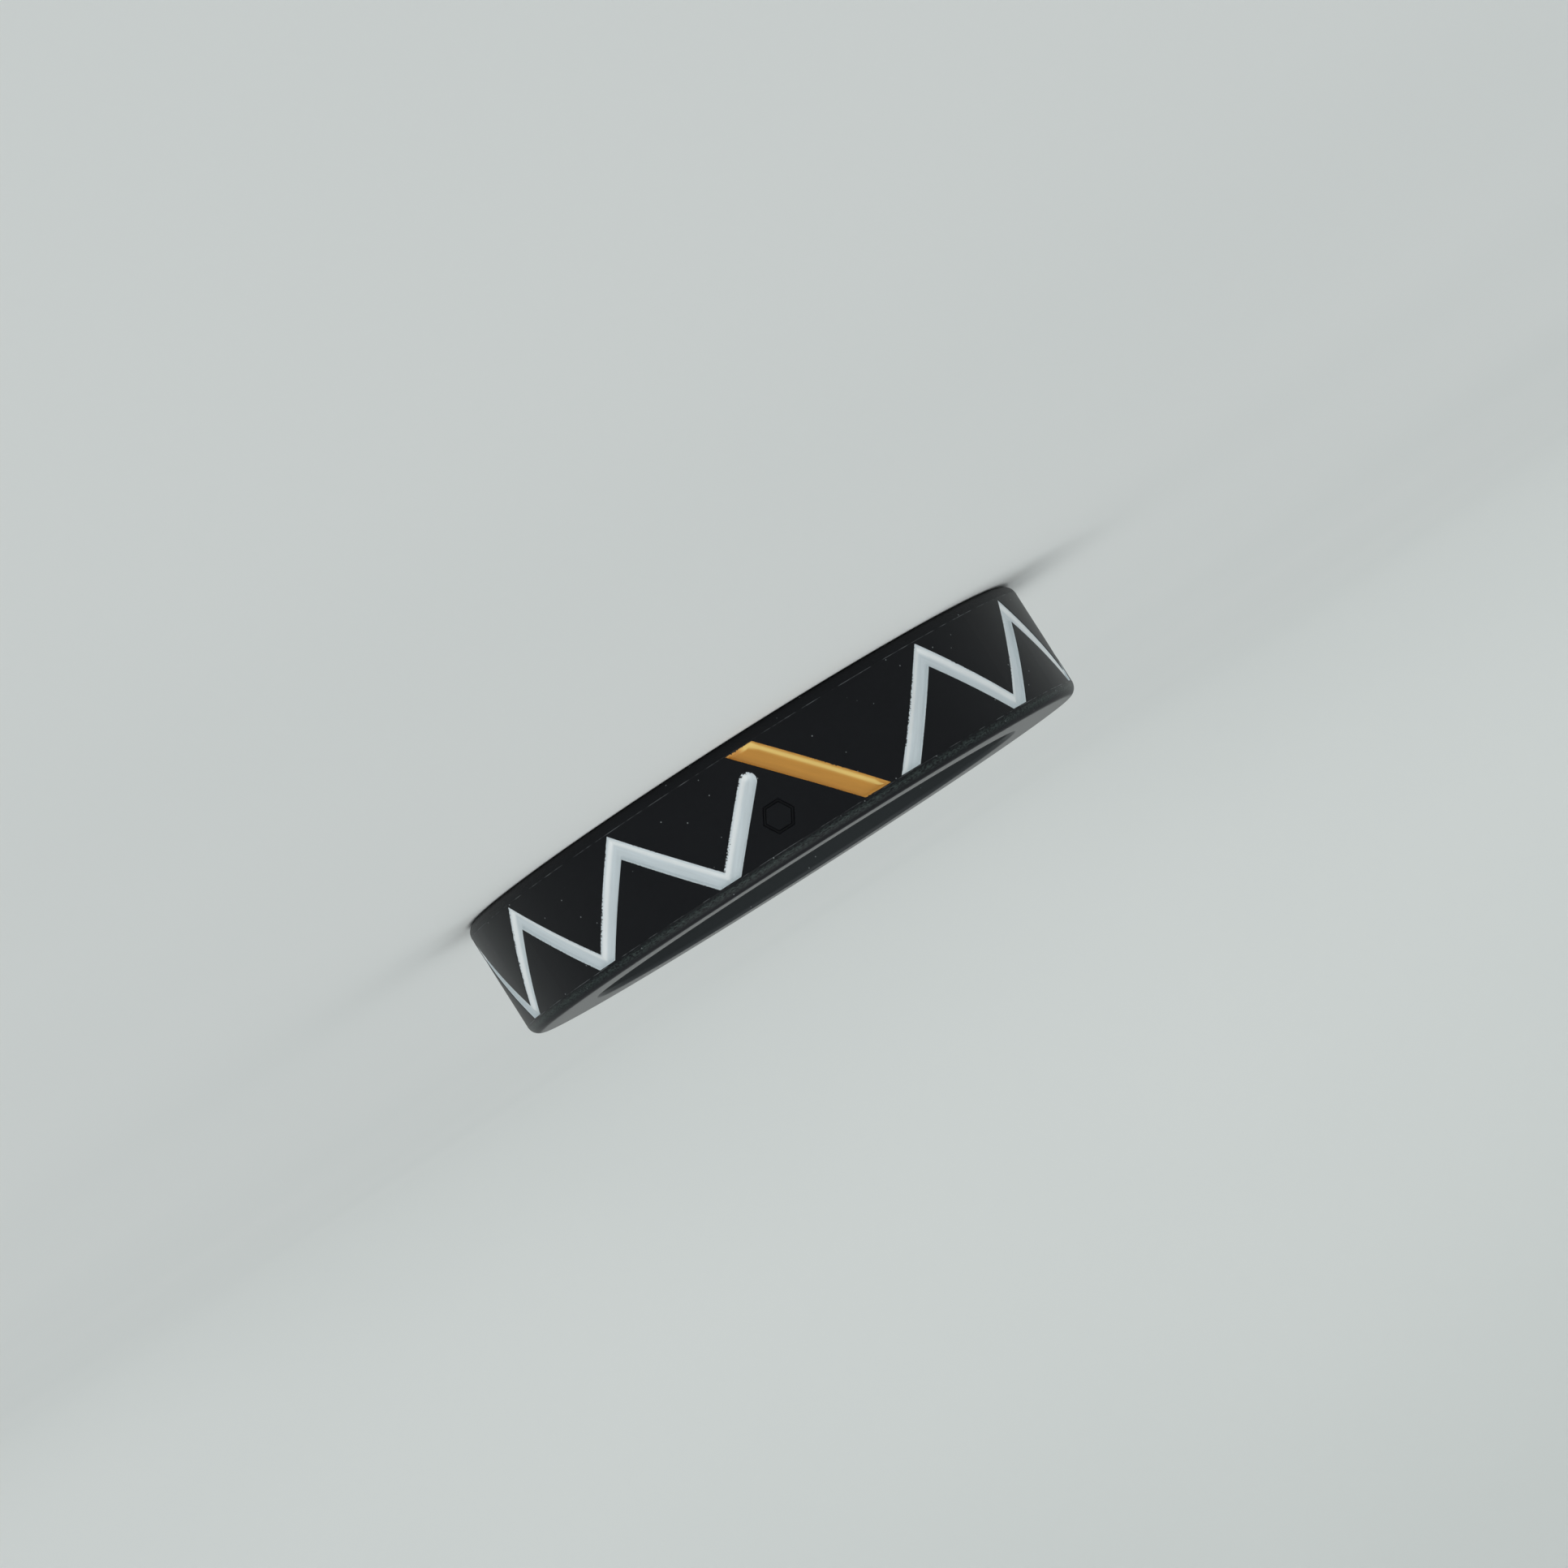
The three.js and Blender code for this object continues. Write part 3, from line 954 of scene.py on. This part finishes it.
def matt_board():
    """Matt painted board under and round the object: pale, even and without gloss."""
    material = new_material("matt_pale_board")
    tree = material.node_tree
    place = add(tree, "ShaderNodeTexCoord").outputs["Object"]
    cloud = add(
        tree, "ShaderNodeTexNoise", {"Scale": per_mm(BOARD_CLOUD), "Detail": 1},
        {"Vector": place},
    )
    paint = add(
        tree, "ShaderNodeMix",
        {"data_type": "RGBA", 6: colour("#e4e8e6"), 7: colour("#eaedeb")},
        {0: cloud.outputs["Fac"]},
    )
    shader = add(
        tree, "ShaderNodeBsdfPrincipled", {"Roughness": 0.9, "Specular IOR Level": 0.1},
        {"Base Color": paint.outputs[2]},
    )
    add(tree, "ShaderNodeOutputMaterial", None, {"Surface": shader.outputs[0]})
    return material


# ---- the studio

def studio_floor():
    """A round floor whose rim sweeps up into a low wall, so that every view ends in it."""
    bpy.ops.object.select_all(action="DESELECT")
    bpy.ops.mesh.primitive_circle_add(
        vertices=FLOOR_SIDES, radius=FLOOR_RADIUS, fill_type="NGON"
    )
    floor = bpy.context.object
    floor.name = "floor"
    open_mesh(floor)
    bpy.ops.mesh.select_all(action="SELECT")
    for step in range(SWEEP_STEPS):
        turn = math.pi / 2 * (step + 0.5) / SWEEP_STEPS
        part = SWEEP_RADIUS * math.pi / 2 / SWEEP_STEPS
        bpy.ops.mesh.select_mode(type="EDGE")
        if step == 0:
            bpy.ops.mesh.select_all(action="SELECT")
            bpy.ops.mesh.region_to_loop()
        bpy.ops.mesh.extrude_edges_move()
        rim = max(abs(v.co.x) for v in bmesh.from_edit_mesh(floor.data).verts)
        wider = (rim + part * math.cos(turn)) / rim
        bpy.ops.transform.resize(value=(wider, wider, 1), center_override=(0, 0, 0))
        bpy.ops.transform.translate(value=(0, 0, part * math.sin(turn)))
    close_mesh()
    bpy.ops.object.shade_smooth()
    floor.data.materials.append(matt_board())


def soft_light(name, azimuth, height, distance, side, power):
    """A square soft box that faces the middle of the band."""
    turn, rise = math.radians(azimuth), math.radians(height)
    place = (
        distance * math.cos(rise) * math.sin(turn),
        -distance * math.cos(rise) * math.cos(turn),
        distance * math.sin(rise),
    )
    bpy.ops.object.light_add(type="AREA", location=place)
    lamp = bpy.context.object
    lamp.name = name
    lamp.data.size = side
    lamp.data.energy = power
    lamp.data.color = colour(LAMP_TINT)[:3]
    aim = Vector((0, 0, MIDDLE * MM)) - Vector(place)
    lamp.rotation_euler = aim.to_track_quat("-Z", "Y").to_euler()


def studio_light():
    world = bpy.data.worlds.new("studio")
    bpy.context.scene.world = world
    world.use_nodes = True
    surround = world.node_tree.nodes["Background"]
    surround.inputs["Color"].default_value = colour(SURROUND_TINT)
    surround.inputs["Strength"].default_value = SURROUND_STRENGTH
    soft_light("key_light", **KEY_LIGHT)
    soft_light("fill_light", **FILL_LIGHT)


def place_camera():
    """The camera looks a little down on the band's upper side face and is rolled, so that the
    band's up points to the lower right."""
    data = bpy.data.cameras.new("camera")
    eye = bpy.data.objects.new("camera", data)
    bpy.context.collection.objects.link(eye)
    data.sensor_width = CAMERA_SENSOR
    data.lens = CAMERA_LENS
    data.clip_start = CAMERA_NEAREST * MM
    turn, tilt = math.radians(CAMERA_AZIMUTH), math.radians(CAMERA_ELEVATION)
    back = Vector((
        math.sin(turn) * math.cos(tilt), -math.cos(turn) * math.cos(tilt), math.sin(tilt)
    ))
    level = Vector((math.cos(turn), math.sin(turn), 0))
    upright = back.cross(level)
    roll = math.radians(CAMERA_ROLL)
    right = level * math.cos(roll) + upright * math.sin(roll)
    up = back.cross(right)
    centre = Vector((0, 0, MIDDLE * MM))
    eye.location = (
        centre + back * CAMERA_DISTANCE * MM + right * CAMERA_RIGHT * MM + up * CAMERA_UP * MM
    )
    eye.rotation_euler = Matrix((right, up, back)).transposed().to_euler()
    bpy.context.scene.camera = eye


# ---- putting it together

place_camera()
studio_floor()
studio_light()
bpy.context.scene.view_settings.view_transform = "Standard"

band, footprints = mould_band()
zigzag_footprint, bar_footprint = part_footprints(footprints)
zigzags = pour_ink(
    zigzag_footprint, "zigzag_ink", ZIGZAG_TROUGH, ZIGZAG_SAG,
    zigzag_edge_distance, zigzag_centre,
)
bars = pour_ink(bar_footprint, "bar_ink", BAR_TROUGH, BAR_SAG, bar_edge_distance, bar_centre)

# each ink's second colour is a painted highlight: the paler tone painted on its walls that face
# up
white_ink = poured_ink("poured_white_silicone_ink", "#e4edf2", "#f8fcfd", roughness=0.42)
amber_ink = poured_ink("poured_amber_silicone_ink", "#dc9c44", "#fad578", roughness=0.4)
for piece, material, node, slot in [
    (band, moulded_black_silicone(), "band_body", "band_rubber"),
    *[(pour, white_ink, f"white_zigzag_{i + 1}", "white_ink") for i, pour in enumerate(zigzags)],
    *[(pour, amber_ink, f"amber_bar_{i + 1}", "amber_ink") for i, pour in enumerate(bars)],
]:
    piece.data.materials.clear()
    piece.data.materials.append(material)
    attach(piece, "root")
    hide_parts(node)
